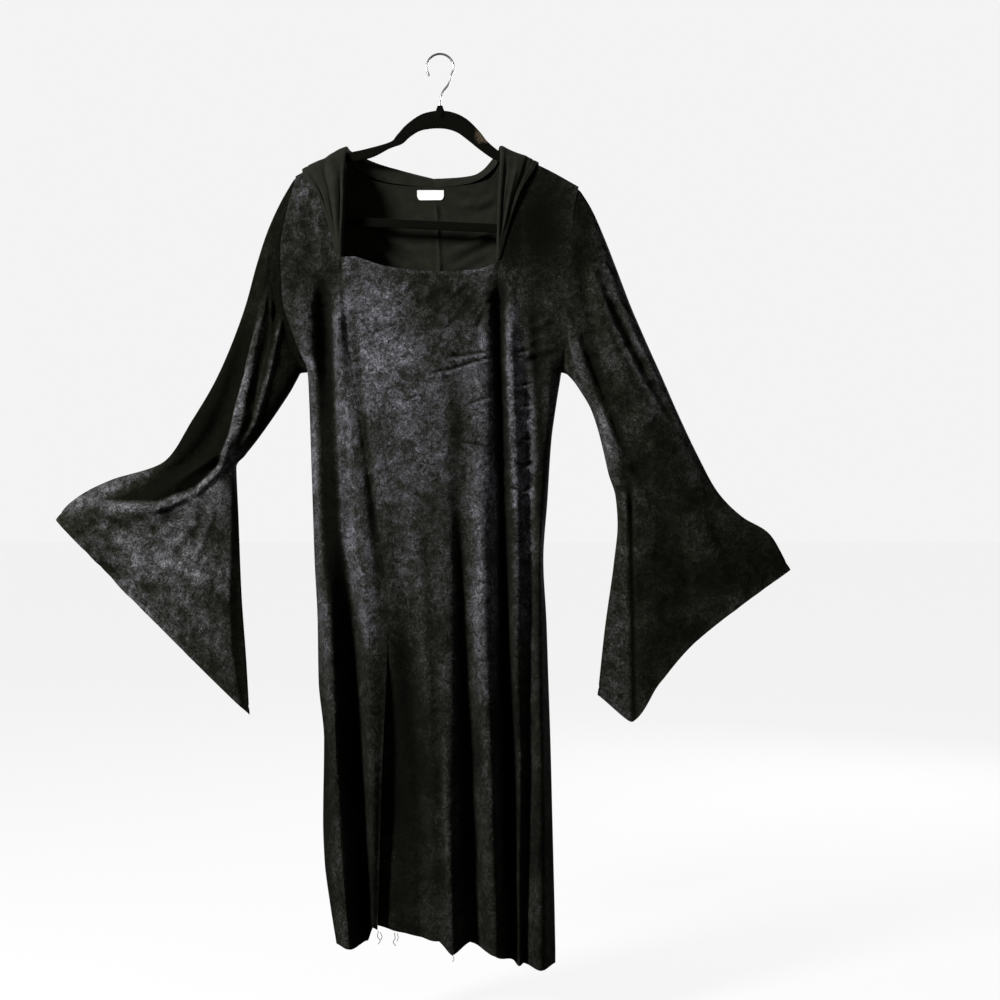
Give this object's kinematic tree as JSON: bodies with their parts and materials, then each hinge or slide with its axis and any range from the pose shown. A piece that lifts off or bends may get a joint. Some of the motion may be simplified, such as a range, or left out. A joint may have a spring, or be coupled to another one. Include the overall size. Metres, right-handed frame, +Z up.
{
  "type": "hooded vampire costume gown on a clothes hanger",
  "caption": "Long black crushed-velvet gown, square neck, thrown-back hood, pointed bell sleeves and thigh slit, hung on a thin flocked hanger by its wire hook",
  "frame": {"origin": "inside top of the hanger's hook, where the rail bears", "axes": "+Z up, front of the gown towards -Y, +X to the viewer's right, which is the wearer's left"},
  "size_m": [1.1757, 0.1493, 1.4554],
  "materials": {
    "velvet": "black crushed stretch velvet, plain dark knit on the wrong side",
    "label": "blank white woven label",
    "flock": "black velvet flocking on moulded plastic",
    "steel": "plated steel wire"
  },
  "bodies": {
    "root": {"front_center": "velvet", "front_side_right": "velvet", "front_side_left": "velvet", "back_right": "velvet", "back_left": "velvet", "sleeve_right": "velvet", "sleeve_left": "velvet", "hood_right": "velvet", "hood_left": "velvet", "neck_label": "label", "hanger_frame": "flock", "hanger_hook": "steel"}
  },
  "joints": []
}
